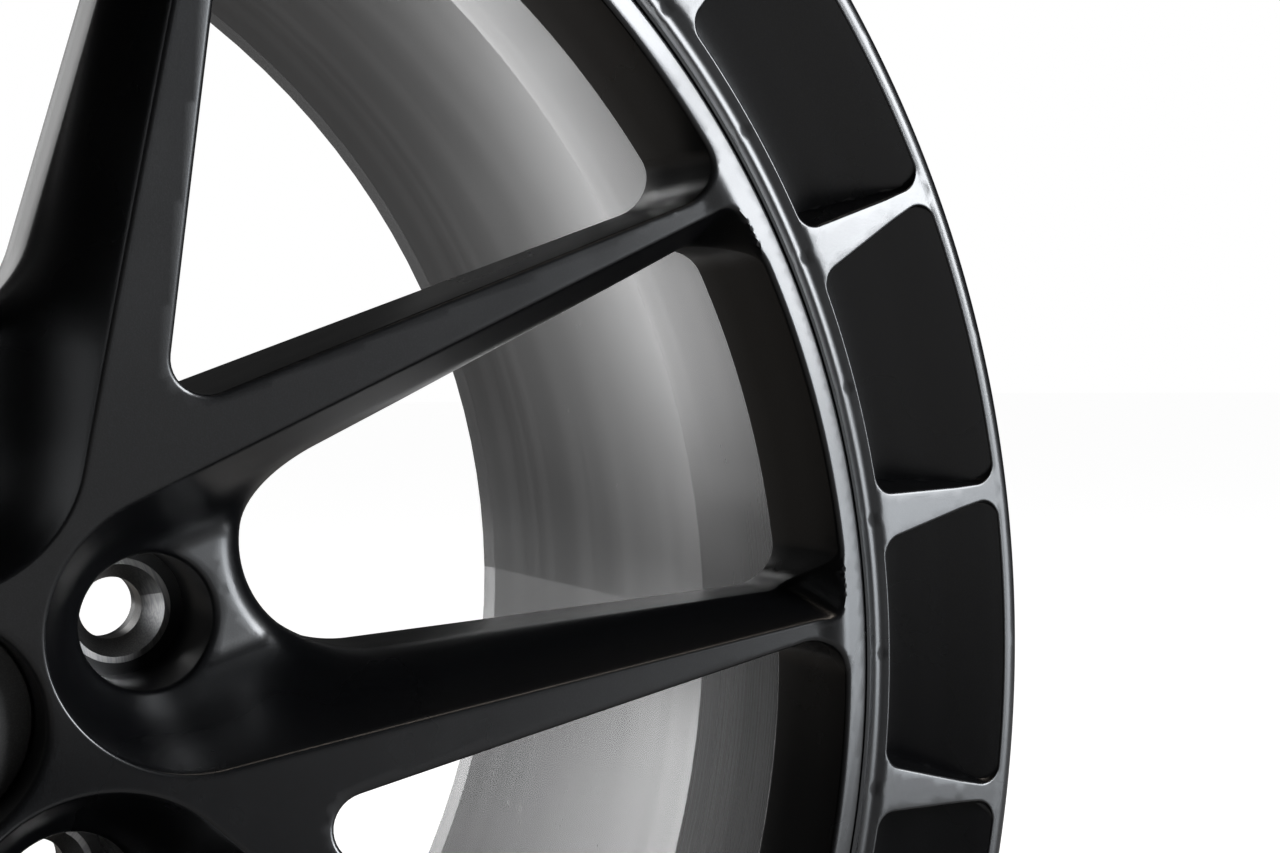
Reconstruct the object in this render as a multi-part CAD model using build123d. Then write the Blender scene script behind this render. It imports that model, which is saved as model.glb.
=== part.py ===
from build123d import *
from math import cos, hypot, radians, sin, sqrt, tan
import os

# A 20 x 9.5 inch modular forged racing wheel rim: a concave five-unit, ten-spoke centre,
# a pocketed outer lip and a turned inner barrel, bolted together from behind.
# Millimetres. The wheel spins about Y, its outboard face points to -Y, Z is up.
# "depth" is the distance behind the outboard flange face, along +Y.

# ---- driving dimensions: rim -------------------------------------------------
WIDTH = 262.0                # overall width, flange face to flange face
FLANGE_R = 273.9             # 20 inch rim with 17.5 mm high J flanges
BEAD_R = 256.4               # bead seat radius
HUMP_R = 257.4               # safety hump radius
FLANGE_THICK = 11.5          # flange face to the bead side of the flange
WELL_R = 237.4               # outside of the drop centre
BARREL_IN_R = 232.0          # inside of the drop centre
WELL_FRONT = 52.0            # drop centre, between these depths
WELL_BACK = 98.0
HUMP_BACK = 27.5             # back foot of a hump, from its flange's bead face
HUMP_TOP = 24.0
HUMP_FRONT = 20.0
BARREL_MOUTH_R = 244.6       # inside of the barrel at the inboard edge
WELL_END_DEPTH = 92.0        # where the barrel starts to open out

# ---- centre disc --------------------------------------------------------------
UNITS = 5                    # spoke units, one lug hole each
UNIT_PITCH = 360 / UNITS
HALF_PITCH = UNIT_PITCH / 2
FIRST_UNIT = 90.0            # one unit points straight up
RING_IN_R = 213.5            # outer end of the windows
RING_OUT_R = 219.8           # front ring of the centre, inside the lip
RING_DEPTH = 2.0
HUB_FACE_DEPTH = 45.0        # spoke faces fall from the ring to this depth at the hub
HUB_FACE_R = 27.0
SPOKE_EDGE_OFFSET = 42.9     # distance of a spoke's outer edge line from the axis
SPOKE_EDGE_FLARE = 4.35      # how much that line opens out from its unit, degrees
V_APEX_FILLET = 8.1
V_CORNER_FILLET = 9.0
U_END_X = 110.0              # centre of the rounded hub end of a U window
U_END_R = 27.0
U_FLARE = 12.0
U_CORNER_FILLET = 11.0
SHELF_DEPTH = 66.0           # floor around the lug counterbore
POCKET_NOSE_R = 17.8         # pocket outline at the shelf
POCKET_FLARE = 2.3
POCKET_DRAFT = 26.0          # slope of the pocket walls and the spokes' inner sides
POCKET_LENGTH = 200.0
POCKET_CORNER_FILLET = 9.0   # where a pocket's upper edge meets the ring
PAD_DEPTH = 108.0            # hub mounting face
PAD_R = 80.0
SPOKE_BACK_DEPTH = 88.0      # back of the spokes beside the pad
CLAMP_FRONT = 25.0           # clamping flange of the centre
CLAMP_BACK = 32.0
CLAMP_R = 236.0

# ---- hub ------------------------------------------------------------------------
LUG_R = 56.0                 # 5 x 112 pattern
LUG_HOLE_R = 7.75
LUG_SOCKET_R = 16.0
INSERT_TOP = 90.0
INSERT_R = 13.0
INSERT_LENGTH = 12.0
INSERT_BORE_R = 8.25         # hole through the pad behind an insert
SEAT_R = 11.5                # mouth of the bolt seat
SEAT_HALF_ANGLE = 30.0       # 60 degree cone
CAP_BORE_R = 25.1
CAP_FRONT = 57.0
CAP_SHOULDER = 70.0
CAP_SHOULDER_R = 22.0
RELIEF_R = 30.0
RELIEF_TOP = 75.0
HUB_BORE_R = 36.3
HUB_BORE_TOP = 94.0
CENTRING_BORE_R = 33.3       # bore of the centring ring, on the car's hub
BACK_POCKET_DEPTH = 18.0     # weight relief pockets between the lugs
BACK_POCKET_IN_R = 46.0
BACK_POCKET_OUT_R = 72.0
BACK_POCKET_HALF = 15.6      # half of the angle that one covers

# ---- centre cap -------------------------------------------------------------------
CAP_GROOVE_R = 23.1
CAP_SKIRT_IN_R = 21.5
CAP_FACE_THICK = 3.0
CAP_SEAL_GROOVE = (60.4, 62.6)
CAP_SPRING_GROOVE = (64.4, 66.6)
SPLIT_WIDTH = 4.0            # gap in the spring wire

# ---- lip ----------------------------------------------------------------------
LIP_IN_R = 220.1
POCKETS = 20
POCKET_PITCH = 360 / POCKETS
POCKET_IN_R = 230.0
POCKET_OUT_R = 268.4
RIB_IN_HALF = 6.6            # half width of a rib at the pockets' inner edge
RIB_OUT_HALF = 1.8           # and at their outer edge
LIP_POCKET_DEPTH = 22.0
LIP_POCKET_FILLET = 5.0
SPIGOT_R = 240.1             # the barrel's front end registers inside this
SPIGOT_END = 46.0
LIP_REGISTER_R = 236.1       # the centre's flange registers inside this

# ---- assembly hardware ------------------------------------------------------------
BOLT_CIRCLE_R = 229.5
BOLT_R = 3.5                 # M7
BOLT_HOLE_R = 3.7
BOLT_HEAD_R = 5.2
BOLT_HEAD_H = 5.0
BOLT_DIMPLE_R = 2.2
BOLT_LENGTH = 25.0
WASHER_R = 5.6
WASHER_H = 1.0
THREAD_INSERT_R = 4.3
THREAD_INSERT_LENGTH = 13.0
FLANGE_BACK = 43.0           # back of the barrel's bolting flange
FLANGE_IN_R = 221.5
COUNTERBORE_R = 6.0          # sinks each bolt head and its washer in the flange
COUNTERBORE_FLOOR = 37.0
SEAL_DEPTH = 40.0
SEAL_R = 1.2
SEAL_GROOVE_HALF = 1.6

# ---- valve ------------------------------------------------------------------------
VALVE_DEPTH = 64.0
VALVE_TILT = 25.0            # from the radius towards the outboard side
VALVE_HOLE_R = 4.2
STEM_R = 4.1
# stations along the valve's axis, inwards from the middle of the barrel wall
STEM_HEAD = -1.5
SPOT_FACE = 0.5
BOSS_FACE = 10.0
NUT_BASE = 11.2
NUT_TOP = 17.2
NECK_START = 24.0
STEM_END = 38.0
CORE_FOOT = 24.0
CORE_TOP = 36.0
VALVE_CAP_MOUTH = 26.5
VALVE_CAP_INSIDE = 39.2
VALVE_CAP_END = 41.0
# radii about the valve's axis
BOSS_R = 14.0
SPOT_FACE_R = 10.5
STEM_HEAD_R = 8.5
STEM_BORE_R = 1.5
NECK_R = 3.85
WASHER_OUT_R = 8.0
NUT_HALF_FLATS = 6.0
CORE_R = 2.3
CORE_BORE_R = 1.4
PIN_R = 0.5
VALVE_CAP_R = 5.0

GAP = 0.05                   # clearance of parts that slide, turn or screw together


def axial(depth):
    """Y of a depth behind the outboard flange face."""
    return depth - WIDTH / 2


def ring_of(points):
    """A solid of revolution about Y from (radius, depth) corners."""
    outline = Polyline(*[(radius, axial(depth)) for radius, depth in points], close=True)
    return revolve(make_face(outline), Axis.Y)


def front_plane(depth):
    """Sketch plane seen from outboard: X right, Z up."""
    return Plane.XZ.offset(WIDTH / 2 - depth)


def bored(radius, x, front, back):
    """An axial cylinder between two depths, at a distance x from the wheel's axis."""
    disc = front_plane(front) * Pos(x, 0) * Circle(radius)
    return extrude(disc, amount=-(back - front))


def turned(shape, angle):
    """The shape turned about the wheel's axis, anticlockwise as seen from outboard."""
    return Rot(0, -angle, 0) * shape


def all_round(shape, count, first):
    return [turned(shape, first + k * 360 / count) for k in range(count)]


def on_circle(x0, y0, angle, radius):
    """Where the line from (x0, y0) at an angle meets a circle about the origin."""
    ux, uy = cos(radians(angle)), sin(radians(angle))
    along = x0 * ux + y0 * uy
    reach = -along + sqrt(along ** 2 - x0 ** 2 - y0 ** 2 + radius ** 2)
    return x0 + reach * ux, y0 + reach * uy


def rounded(face, radius, near_r, tolerance=4.0):
    """Round the corners of a face that lie about near_r from the axis."""
    corners = [v for v in face.vertices() if abs(hypot(v.X, v.Y) - near_r) < tolerance]
    return fillet(corners, radius)


def v_window():
    """Window between two units, pointing along +X."""
    half = HALF_PITCH - SPOKE_EDGE_FLARE
    apex = SPOKE_EDGE_OFFSET / sin(radians(half))
    x, y = on_circle(apex, 0, half, RING_IN_R)
    outline = Curve() + [
        Line((apex, 0), (x, y)),
        ThreePointArc((x, y), (RING_IN_R, 0), (x, -y)),
        Line((x, -y), (apex, 0)),
    ]
    face = rounded(make_face(outline), V_CORNER_FILLET, RING_IN_R)
    face = rounded(face, V_APEX_FILLET, apex)
    return extrude(front_plane(-5) * face, amount=-150)


def u_window():
    """Window between the two spokes of a unit, pointing along +X."""
    tx = U_END_X - U_END_R * sin(radians(U_FLARE))
    ty = U_END_R * cos(radians(U_FLARE))
    x, y = on_circle(tx, ty, U_FLARE, RING_IN_R)
    outline = Curve() + [
        ThreePointArc((tx, ty), (U_END_X - U_END_R, 0), (tx, -ty)),
        Line((tx, -ty), (x, -y)),
        ThreePointArc((x, -y), (RING_IN_R, 0), (x, y)),
        Line((x, y), (tx, ty)),
    ]
    face = rounded(make_face(outline), U_CORNER_FILLET, RING_IN_R)
    return extrude(front_plane(-5) * face, amount=-150)


def spoke_pocket():
    """Drafted pocket around a lug hole that runs out between the spokes, along +X."""
    tx = LUG_R - POCKET_NOSE_R * sin(radians(POCKET_FLARE))
    ty = POCKET_NOSE_R * cos(radians(POCKET_FLARE))
    far_x = tx + POCKET_LENGTH
    far_y = ty + POCKET_LENGTH * tan(radians(POCKET_FLARE))
    outline = Curve() + [
        ThreePointArc((tx, ty), (LUG_R - POCKET_NOSE_R, 0), (tx, -ty)),
        Line((tx, -ty), (far_x, -far_y)),
        Line((far_x, -far_y), (far_x, far_y)),
        Line((far_x, far_y), (tx, ty)),
    ]
    face = make_face(outline)
    cutter = extrude(front_plane(SHELF_DEPTH) * face, amount=SHELF_DEPTH + 5, taper=-POCKET_DRAFT)
    return cutter & extrude(front_plane(-10) * pocket_mouth(), amount=-(SHELF_DEPTH + 11))


def pocket_mouth():
    """Outline just outside a pocket's upper edges that rounds them into the ring."""
    reach = POCKET_NOSE_R + (SHELF_DEPTH - RING_DEPTH) * tan(radians(POCKET_DRAFT))
    sx = LUG_R - reach * sin(radians(POCKET_FLARE))
    sy = reach * cos(radians(POCKET_FLARE))
    x, y = on_circle(sx, sy, POCKET_FLARE, RING_IN_R)
    outline = Curve() + [
        Line((0, -sy), (sx, -sy)),
        Line((sx, -sy), (x, -y)),
        ThreePointArc((x, -y), (RING_IN_R, 0), (x, y)),
        Line((x, y), (sx, sy)),
        Line((sx, sy), (0, sy)),
        Line((0, sy), (0, -sy)),
    ]
    return rounded(make_face(outline), POCKET_CORNER_FILLET, RING_IN_R)


def back_pocket():
    """Kidney-shaped weight relief in the hub pad, between two lugs, along +X."""
    floor = PAD_DEPTH - BACK_POCKET_DEPTH
    band = ring_of([(BACK_POCKET_IN_R, floor), (BACK_POCKET_OUT_R, floor),
                    (BACK_POCKET_OUT_R, PAD_DEPTH + 1), (BACK_POCKET_IN_R, PAD_DEPTH + 1)])
    far_y = PAD_R * tan(radians(BACK_POCKET_HALF))
    wedge = make_face(Polyline((0, 0), (PAD_R, far_y), (PAD_R, -far_y), close=True))
    return band & extrude(front_plane(floor - 1) * wedge, amount=-(BACK_POCKET_DEPTH + 2))


def centre_disc():
    body = ring_of([
        (CAP_BORE_R, HUB_FACE_DEPTH + 1.5), (HUB_FACE_R, HUB_FACE_DEPTH),
        (RING_IN_R, RING_DEPTH + 1), (RING_IN_R + 1, RING_DEPTH),
        (RING_OUT_R - 0.6, RING_DEPTH), (RING_OUT_R, RING_DEPTH + 0.6),
        (RING_OUT_R, CLAMP_FRONT), (CLAMP_R, CLAMP_FRONT), (CLAMP_R, CLAMP_BACK),
        (RING_IN_R, CLAMP_BACK), (PAD_R + 4, SPOKE_BACK_DEPTH), (PAD_R, PAD_DEPTH),
        (HUB_BORE_R, PAD_DEPTH), (HUB_BORE_R, HUB_BORE_TOP), (RELIEF_R, HUB_BORE_TOP),
        (RELIEF_R, RELIEF_TOP), (CAP_SHOULDER_R, RELIEF_TOP), (CAP_SHOULDER_R, CAP_SHOULDER),
        (CAP_BORE_R, CAP_SHOULDER),
    ])
    lug = bored(LUG_SOCKET_R, LUG_R, SHELF_DEPTH - 30, INSERT_TOP)
    lug += bored(INSERT_R + GAP, LUG_R, INSERT_TOP - 1, INSERT_TOP + INSERT_LENGTH)
    lug += bored(INSERT_BORE_R, LUG_R, INSERT_TOP, PAD_DEPTH + 1)
    body -= all_round(v_window(), UNITS, FIRST_UNIT + HALF_PITCH)
    body -= all_round(u_window(), UNITS, FIRST_UNIT)
    body -= all_round(spoke_pocket(), UNITS, FIRST_UNIT)
    body -= all_round(lug, UNITS, FIRST_UNIT)
    body -= all_round(back_pocket(), UNITS, FIRST_UNIT + HALF_PITCH)
    holes = bored(BOLT_HOLE_R, BOLT_CIRCLE_R, CLAMP_FRONT - 1, CLAMP_BACK + 1)
    return body - all_round(holes, POCKETS, FIRST_UNIT + POCKET_PITCH / 2)


def lip_pocket():
    """One lightening pocket of the lip, along +X, between two ribs."""
    half = POCKET_PITCH / 2
    turn = radians(half)

    def rib_side(radius, width):
        reach = sqrt(radius ** 2 - width ** 2)
        return (reach * cos(turn) + width * sin(turn), reach * sin(turn) - width * cos(turn))

    ix, iy = rib_side(POCKET_IN_R, RIB_IN_HALF)
    ox, oy = rib_side(POCKET_OUT_R, RIB_OUT_HALF)
    outline = Curve() + [
        ThreePointArc((ix, iy), (POCKET_IN_R, 0), (ix, -iy)),
        Line((ix, -iy), (ox, -oy)),
        ThreePointArc((ox, -oy), (POCKET_OUT_R, 0), (ox, oy)),
        Line((ox, oy), (ix, iy)),
    ]
    face = fillet(make_face(outline).vertices(), LIP_POCKET_FILLET)
    walls = extrude(front_plane(-3) * face, amount=-(LIP_POCKET_DEPTH + 10))
    cavity = ring_of([
        (POCKET_IN_R - 5, -3), (POCKET_IN_R - 5, LIP_POCKET_DEPTH), (POCKET_OUT_R - 27, LIP_POCKET_DEPTH),
        (POCKET_OUT_R - 24, LIP_POCKET_DEPTH - 4), (POCKET_OUT_R + 3, -3),
    ])
    return walls & cavity


def outer_lip():
    seat = FLANGE_THICK
    body = ring_of([
        (LIP_IN_R, 3.2), (LIP_IN_R + 0.8, 2.4), (LIP_IN_R + 2.4, 3.6), (LIP_IN_R + 5.4, 4.8),
        (LIP_IN_R + 8.4, 4.2), (POCKET_IN_R, 3.5), (POCKET_OUT_R, 0.4), (POCKET_OUT_R + 1.5, 0),
        (FLANGE_R - 2.2, 0), (FLANGE_R - 0.7, 0.7), (FLANGE_R, 2.4), (FLANGE_R, 5.6),
        (FLANGE_R - 1.4, 8.2), (BEAD_R + 9, seat - 0.6), (BEAD_R + 5, seat), (BEAD_R + 2.2, seat + 1.2),
        (BEAD_R, seat + 5), (BEAD_R - 0.8, seat + HUMP_FRONT), (HUMP_R, seat + HUMP_TOP),
        (HUMP_R - 0.6, seat + HUMP_BACK),
        (SPIGOT_R + 2, SPIGOT_END), (SPIGOT_R, SPIGOT_END), (SPIGOT_R, CLAMP_BACK),
        (LIP_REGISTER_R, CLAMP_BACK), (LIP_REGISTER_R, CLAMP_FRONT), (LIP_IN_R, CLAMP_FRONT),
    ])
    body -= all_round(lip_pocket(), POCKETS, FIRST_UNIT)
    hole = bored(THREAD_INSERT_R + GAP, BOLT_CIRCLE_R, CLAMP_FRONT - THREAD_INSERT_LENGTH, CLAMP_FRONT + 1)
    return body - all_round(hole, POCKETS, FIRST_UNIT + POCKET_PITCH / 2)


# ---- valve frame: s runs inwards along the stem from the middle of the barrel wall ----
VALVE_MID_R = (BARREL_IN_R + WELL_R) / 2
VALVE_DIR = (0, -sin(radians(VALVE_TILT)), cos(radians(VALVE_TILT)))


def valve_plane(s):
    origin = (0, axial(VALVE_DEPTH) + s * VALVE_DIR[1], -VALVE_MID_R + s * VALVE_DIR[2])
    return Plane(origin=origin, x_dir=(1, 0, 0), z_dir=VALVE_DIR)


def on_stem(shape, start, end):
    """A section extruded along the valve's axis between two stations."""
    return extrude(valve_plane(start) * shape, amount=end - start)


def inner_barrel():
    rear = WIDTH - FLANGE_THICK
    body = ring_of([
        (FLANGE_IN_R, CLAMP_BACK), (SPIGOT_R - GAP, CLAMP_BACK), (SPIGOT_R - GAP, SPIGOT_END + 2),
        (WELL_R, WELL_FRONT), (WELL_R, WELL_BACK), (WELL_R + 12, 216),
        (HUMP_R - 0.6, rear - HUMP_BACK), (HUMP_R, rear - HUMP_TOP), (BEAD_R - 0.8, rear - HUMP_FRONT),
        (BEAD_R, rear - 5),
        (BEAD_R + 2.2, rear - 1.2), (BEAD_R + 5, rear), (BEAD_R + 9, rear + 0.6), (FLANGE_R - 1.4, WIDTH - 8.2),
        (FLANGE_R, WIDTH - 5.6), (FLANGE_R, WIDTH - 2.4), (FLANGE_R - 0.7, WIDTH - 0.7),
        (FLANGE_R - 2.2, WIDTH), (BARREL_MOUTH_R + 3, WIDTH), (BARREL_MOUTH_R, WIDTH - 3),
        (BARREL_MOUTH_R, WIDTH - 12), (BARREL_IN_R, WELL_END_DEPTH), (BARREL_IN_R, FLANGE_BACK),
        (FLANGE_IN_R + 1, FLANGE_BACK), (FLANGE_IN_R, FLANGE_BACK - 1),
    ])
    groove_in_r = SPIGOT_R - GAP - 2 * SEAL_R
    front, back = SEAL_DEPTH - SEAL_GROOVE_HALF, SEAL_DEPTH + SEAL_GROOVE_HALF
    body -= ring_of([(groove_in_r, front), (SPIGOT_R + 1, front), (SPIGOT_R + 1, back), (groove_in_r, back)])
    body += on_stem(Circle(BOSS_R), 0, BOSS_FACE)
    body -= on_stem(Circle(SPOT_FACE_R), -25, SPOT_FACE)
    body -= on_stem(Circle(VALVE_HOLE_R), -5, BOSS_FACE + 5)
    hole = bored(BOLT_HOLE_R, BOLT_CIRCLE_R, CLAMP_BACK - 1, FLANGE_BACK + 1)
    hole += bored(COUNTERBORE_R, BOLT_CIRCLE_R, COUNTERBORE_FLOOR, FLANGE_BACK + 1)
    return body - all_round(hole, POCKETS, FIRST_UNIT + POCKET_PITCH / 2)


def bolt():
    seat = COUNTERBORE_FLOOR + WASHER_H
    shank = bored(BOLT_R, BOLT_CIRCLE_R, seat - BOLT_LENGTH, seat)
    head = extrude(front_plane(seat) * Pos(BOLT_CIRCLE_R, 0) * RegularPolygon(BOLT_HEAD_R, 12),
                   amount=-BOLT_HEAD_H)
    dimple = bored(BOLT_DIMPLE_R, BOLT_CIRCLE_R, seat + BOLT_HEAD_H / 2, seat + BOLT_HEAD_H + 1)
    return shank + head - dimple


def washer():
    ring = bored(WASHER_R, BOLT_CIRCLE_R, COUNTERBORE_FLOOR, COUNTERBORE_FLOOR + WASHER_H)
    return ring - bored(BOLT_HOLE_R, BOLT_CIRCLE_R, COUNTERBORE_FLOOR - 1, COUNTERBORE_FLOOR + 2)


def thread_insert():
    top = CLAMP_FRONT - THREAD_INSERT_LENGTH
    sleeve = bored(THREAD_INSERT_R, BOLT_CIRCLE_R, top, CLAMP_FRONT)
    return sleeve - bored(BOLT_R + GAP, BOLT_CIRCLE_R, top - 1, CLAMP_FRONT + 1)


def lug_seat():
    """Steel insert with a 60 degree cone seat for the wheel bolt."""
    body = bored(INSERT_R, LUG_R, INSERT_TOP, INSERT_TOP + INSERT_LENGTH)
    body -= bored(LUG_HOLE_R, LUG_R, INSERT_TOP - 1, INSERT_TOP + INSERT_LENGTH + 1)
    cone_depth = (SEAT_R - LUG_HOLE_R) / tan(radians(SEAT_HALF_ANGLE))
    mouth = front_plane(INSERT_TOP) * Pos(LUG_R, 0) * Circle(SEAT_R)
    return body - extrude(mouth, amount=-cone_depth, taper=SEAT_HALF_ANGLE)


def round_ring(radius, depth, section_r):
    section = Pos(radius, axial(depth)) * Circle(section_r)
    return revolve(section, Axis.Y)


def hub_centring_ring():
    return ring_of([
        (CENTRING_BORE_R, HUB_BORE_TOP + 0.2), (HUB_BORE_R - GAP, HUB_BORE_TOP + 0.2),
        (HUB_BORE_R - GAP, PAD_DEPTH - 0.5), (CENTRING_BORE_R + 1, PAD_DEPTH - 0.5),
        (CENTRING_BORE_R, PAD_DEPTH - 1.5),
    ])


CAP_R = CAP_BORE_R - GAP


def centre_cap():
    corners = [(0, CAP_FRONT), (CAP_R - 0.5, CAP_FRONT), (CAP_R, CAP_FRONT + 0.5)]
    for top, bottom in (CAP_SEAL_GROOVE, CAP_SPRING_GROOVE):
        corners += [(CAP_R, top), (CAP_GROOVE_R, top), (CAP_GROOVE_R, bottom), (CAP_R, bottom)]
    corners += [(CAP_R, CAP_SHOULDER - 0.1), (CAP_SKIRT_IN_R, CAP_SHOULDER - 0.1),
                (CAP_SKIRT_IN_R, CAP_FRONT + CAP_FACE_THICK), (0, CAP_FRONT + CAP_FACE_THICK)]
    return ring_of(corners)


def ring_in_groove(groove):
    """A round ring that fills one of the cap's grooves out to the bore."""
    section_r = (CAP_R - CAP_GROOVE_R) / 2 - GAP / 2
    return round_ring(CAP_GROOVE_R + section_r + GAP / 4, sum(groove) / 2, section_r)


def cap_spring_ring():
    """Split spring wire that holds the cap in its bore."""
    gap = Pos(0, axial(sum(CAP_SPRING_GROOVE) / 2), CAP_R) * Box(SPLIT_WIDTH, SPLIT_WIDTH, 2 * SPLIT_WIDTH)
    return ring_in_groove(CAP_SPRING_GROOVE) - gap


def cap_seal_ring():
    return ring_in_groove(CAP_SEAL_GROOVE)


def on_stem_tube(outer, inner, start, end):
    """A tube about the valve's axis between two stations."""
    return on_stem(Circle(outer), start, end) - on_stem(Circle(inner), start - 1, end + 1)


def valve_stem():
    body = on_stem(Circle(STEM_HEAD_R), STEM_HEAD - 3.5, STEM_HEAD)
    body += on_stem(Circle(STEM_R), STEM_HEAD, NECK_START)
    body += on_stem(Circle(NECK_R), NECK_START, STEM_END)
    body -= on_stem(Circle(STEM_BORE_R), STEM_HEAD - 5, STEM_END)
    return body - on_stem(Circle(CORE_R + GAP), CORE_FOOT - 4, STEM_END + 1)


def valve_grommet():
    return on_stem_tube(WASHER_OUT_R, STEM_R + GAP, STEM_HEAD, SPOT_FACE)


def valve_washer():
    return on_stem_tube(WASHER_OUT_R, VALVE_HOLE_R, BOSS_FACE, NUT_BASE)


def valve_nut():
    nut = on_stem(RegularPolygon(NUT_HALF_FLATS, 6, major_radius=False), NUT_BASE, NUT_TOP)
    return nut - on_stem(Circle(STEM_R + GAP), NUT_BASE - 1, NUT_TOP + 1)


def valve_core_body():
    body = on_stem_tube(CORE_R, PIN_R + GAP, CORE_FOOT, CORE_TOP)
    return body - on_stem(Circle(CORE_BORE_R), CORE_FOOT + 1, CORE_TOP + 1)


def valve_core_spring():
    return on_stem_tube(1.3, 0.8, CORE_FOOT + 1, CORE_FOOT + 5.6)


def valve_core_pin():
    pin = on_stem(Circle(PIN_R), CORE_FOOT - 1.5, CORE_TOP + 0.8)
    return pin + on_stem(Circle(1.2), CORE_FOOT + 6.8, CORE_FOOT + 7.4)


def valve_core_seal():
    return on_stem_tube(1.8, PIN_R, CORE_FOOT - 1.4, CORE_FOOT - GAP)


def valve_cap():
    body = on_stem(Circle(VALVE_CAP_R), VALVE_CAP_MOUTH, VALVE_CAP_END)
    flute = Pos(VALVE_CAP_R + 0.3, 0) * Circle(0.6)
    flutes = [Rot(0, 0, 22.5 * k) * flute for k in range(16)]
    body -= [on_stem(flute, VALVE_CAP_MOUTH + 2, VALVE_CAP_END - 1.5) for flute in flutes]
    return body - on_stem(Circle(NECK_R + GAP), VALVE_CAP_MOUTH - 1, VALVE_CAP_INSIDE)


def valve_cap_seal():
    return on_stem(Circle(NECK_R - 0.15), STEM_END + GAP, VALVE_CAP_INSIDE - GAP)


def save(name, shape):
    """Write one node. A list of identical pieces becomes one group of solids."""
    solids = shape if isinstance(shape, list) else [shape]
    export_step(Compound(children=[piece.solid() for piece in solids]), f"parts/{name}.step")
    print(name, round(sum(piece.volume for piece in solids)))


BOLT_START = FIRST_UNIT + POCKET_PITCH / 2

os.makedirs("parts", exist_ok=True)
save("centre_disc", centre_disc())
save("outer_lip", outer_lip())
save("inner_barrel", inner_barrel())
save("assembly_bolts", all_round(bolt(), POCKETS, BOLT_START))
save("assembly_washers", all_round(washer(), POCKETS, BOLT_START))
save("thread_inserts", all_round(thread_insert(), POCKETS, BOLT_START))
save("barrel_seal_ring", round_ring(SPIGOT_R - GAP - SEAL_R, SEAL_DEPTH, SEAL_R - GAP))
save("lug_seat_inserts", all_round(lug_seat(), UNITS, FIRST_UNIT))
save("hub_centring_ring", hub_centring_ring())
save("centre_cap", centre_cap())
save("cap_spring_ring", cap_spring_ring())
save("cap_seal_ring", cap_seal_ring())
save("valve_stem", valve_stem())
save("valve_grommet", valve_grommet())
save("valve_washer", valve_washer())
save("valve_nut", valve_nut())
save("valve_core_body", valve_core_body())
save("valve_core_spring", valve_core_spring())
save("valve_core_pin", valve_core_pin())
save("valve_core_seal", valve_core_seal())
save("valve_cap", valve_cap())
save("valve_cap_seal", valve_cap_seal())
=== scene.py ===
from math import atan2, cos, degrees, radians, sin, sqrt, tan

import bmesh
import bpy
import numpy as np
from mathutils import Matrix, Vector
from mathutils.geometry import delaunay_2d_cdt


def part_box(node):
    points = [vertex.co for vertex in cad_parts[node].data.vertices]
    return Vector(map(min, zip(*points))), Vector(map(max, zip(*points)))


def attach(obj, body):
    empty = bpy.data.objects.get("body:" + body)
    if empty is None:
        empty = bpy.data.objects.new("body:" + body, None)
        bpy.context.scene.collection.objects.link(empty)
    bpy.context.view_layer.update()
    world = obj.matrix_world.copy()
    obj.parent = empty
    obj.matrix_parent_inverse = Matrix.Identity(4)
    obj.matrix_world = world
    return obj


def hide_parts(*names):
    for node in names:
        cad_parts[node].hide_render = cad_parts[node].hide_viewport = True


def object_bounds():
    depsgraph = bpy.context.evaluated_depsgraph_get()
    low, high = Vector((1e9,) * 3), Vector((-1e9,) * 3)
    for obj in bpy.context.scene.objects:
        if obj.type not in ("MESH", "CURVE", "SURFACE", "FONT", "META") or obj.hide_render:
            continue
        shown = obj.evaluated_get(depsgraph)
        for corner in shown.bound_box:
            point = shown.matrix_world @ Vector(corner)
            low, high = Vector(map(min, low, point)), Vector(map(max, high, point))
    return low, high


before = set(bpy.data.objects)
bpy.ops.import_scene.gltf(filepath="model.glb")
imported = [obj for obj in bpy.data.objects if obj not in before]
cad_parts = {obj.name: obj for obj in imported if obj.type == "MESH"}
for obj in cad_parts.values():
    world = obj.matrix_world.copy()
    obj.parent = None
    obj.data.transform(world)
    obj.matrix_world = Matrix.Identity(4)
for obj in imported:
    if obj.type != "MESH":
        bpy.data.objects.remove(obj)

# A forged racing wheel rim. The meshes are worked out in millimetres in the plan of the
# wheel as seen from outboard, one spoke unit along +x, with "depth" counted from the
# outboard flange face. They are turned into the wheel's frame, in metres, at the end.
CAD_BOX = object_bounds()
MM = 0.001
FACE_Y = CAD_BOX[0][1]                     # outboard flange face
FLANGE_R = CAD_BOX[1][2] / MM
FIRST_UNIT = 90.0                          # one unit points straight up
UNITS = 5
HALF_PITCH = 180 / UNITS
LIP_POCKETS = 20
LIP_HALF_PITCH = 180 / LIP_POCKETS

# ---- centre: radii and depths -----------------------------------------------------------
RING_IN_R = 213.5
RING_OUT_R = 219.8
RING_DEPTH = 2.0
CLAMP_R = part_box("centre_disc")[1][2] / MM
CLAMP_FRONT, CLAMP_BACK = 25.0, 32.0
HUB_FACE_R, HUB_FACE_DEPTH = 27.0, 45.0
CAP_BORE_R = 25.1
CAP_SHOULDER_R, CAP_SHOULDER = 22.0, 70.0
RELIEF_R, RELIEF_TOP = 30.0, 75.0
HUB_BORE_R, HUB_BORE_TOP = 36.3, 94.0
LUG_R = 56.0
SOCKET_R, SOCKET_END = 16.0, 90.0
SEAT_R, SEAT_END = 13.05, 102.0
LUG_EXIT_R = 8.25
SHELF_DEPTH = 66.0
PAD_R, PAD_DEPTH = 80.0, 108.0
PAD_STEP = 4.0                             # width of the slope round the pad
SPOKE_BACK = 88.0
POCKET_NOSE_R, POCKET_FLARE, POCKET_DRAFT = 17.8, 2.3, 26.0
U_END_X, U_END_R, U_FLARE, U_CORNER = 110.0, 27.0, 12.0, 11.0
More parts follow.
